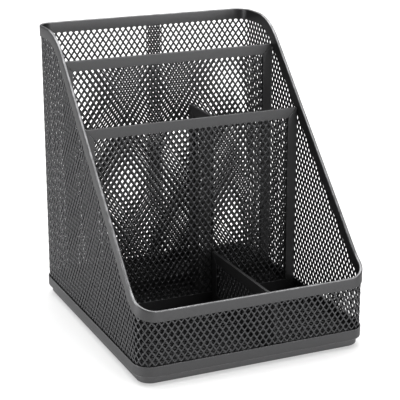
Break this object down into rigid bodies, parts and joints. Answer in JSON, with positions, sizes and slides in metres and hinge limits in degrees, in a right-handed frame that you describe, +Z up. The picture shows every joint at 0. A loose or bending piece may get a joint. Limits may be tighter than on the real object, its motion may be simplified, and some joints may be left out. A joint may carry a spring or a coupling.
{
  "type": "lazy susan organizer",
  "caption": "Turning desk organizer: an expanded-metal box, high at the back and sloping to a low front, with mesh dividers, on a flat base with a ball bearing.",
  "frame": {"origin": "on the surface the organizer stands on, at the middle of its footprint, which is also the axis it turns on", "axes": "+Z up, +X to the right and -Y to the low front, seen from the front"},
  "size_m": [0.152, 0.177, 0.1854],
  "materials": {
    "coated_strip": "satin black powder coat on folded steel strip",
    "coated_mesh": "satin black powder coat on expanded steel mesh",
    "coated_tray": "satin black powder coat on pressed steel",
    "zinc_plate": "bright zinc plate on pressed steel",
    "ball_steel": "polished bearing steel",
    "cage_nylon": "natural nylon",
    "foot_rubber": "matt black rubber"
  },
  "bodies": {
    "base": {"base_tray": "coated_tray", "foot_front_left": "foot_rubber", "foot_front_right": "foot_rubber", "foot_back_left": "foot_rubber", "foot_back_right": "foot_rubber", "lower_race": "zinc_plate", "lower_race_rivet_1": "zinc_plate", "lower_race_rivet_2": "zinc_plate", "lower_race_rivet_3": "zinc_plate", "lower_race_rivet_4": "zinc_plate"},
    "ball_ring": {"ball_cage": "cage_nylon", "ball_1": "ball_steel", "ball_2": "ball_steel", "ball_3": "ball_steel", "ball_4": "ball_steel", "ball_5": "ball_steel", "ball_6": "ball_steel", "ball_7": "ball_steel", "ball_8": "ball_steel", "ball_9": "ball_steel", "ball_10": "ball_steel", "ball_11": "ball_steel", "ball_12": "ball_steel"},
    "organizer": {"pan": "coated_strip", "floor_mesh": "coated_mesh", "wall_mesh": "coated_mesh", "top_rim": "coated_strip", "upper_race": "zinc_plate", "upper_race_rivet_1": "coated_strip", "upper_race_rivet_2": "coated_strip", "upper_race_rivet_3": "coated_strip", "upper_race_rivet_4": "coated_strip", "rear_divider_mesh": "coated_mesh", "rear_divider_bottom_bar": "coated_strip", "rear_divider_top_bar": "coated_strip", "rear_divider_left_bar": "coated_strip", "rear_divider_right_bar": "coated_strip", "middle_divider_mesh": "coated_mesh", "middle_divider_bottom_bar": "coated_strip", "middle_divider_top_bar": "coated_strip", "middle_divider_left_bar": "coated_strip", "middle_divider_right_bar": "coated_strip", "cross_divider_mesh": "coated_mesh", "cross_divider_bottom_bar": "coated_strip", "cross_divider_top_bar": "coated_strip", "cross_divider_front_bar": "coated_strip", "cross_divider_back_bar": "coated_strip", "front_divider_mesh": "coated_mesh", "front_divider_bottom_bar": "coated_strip", "front_divider_top_bar": "coated_strip", "front_divider_front_bar": "coated_strip", "front_divider_back_bar": "coated_strip"}
  },
  "joints": [
    {"name": "turntable_spin", "type": "hinge", "parent": "base", "child": "organizer", "pos_m": [0, 0, 0.0036], "axis": [0, 0, 1], "continuous": true},
    {"name": "ball_ring_spin", "type": "hinge", "parent": "base", "child": "ball_ring", "pos_m": [0, 0, 0.0036], "axis": [0, 0, 1], "continuous": true}
  ],
  "couplings": [
    {"joint": "ball_ring_spin", "follows": "turntable_spin", "ratio": 0.5}
  ]
}
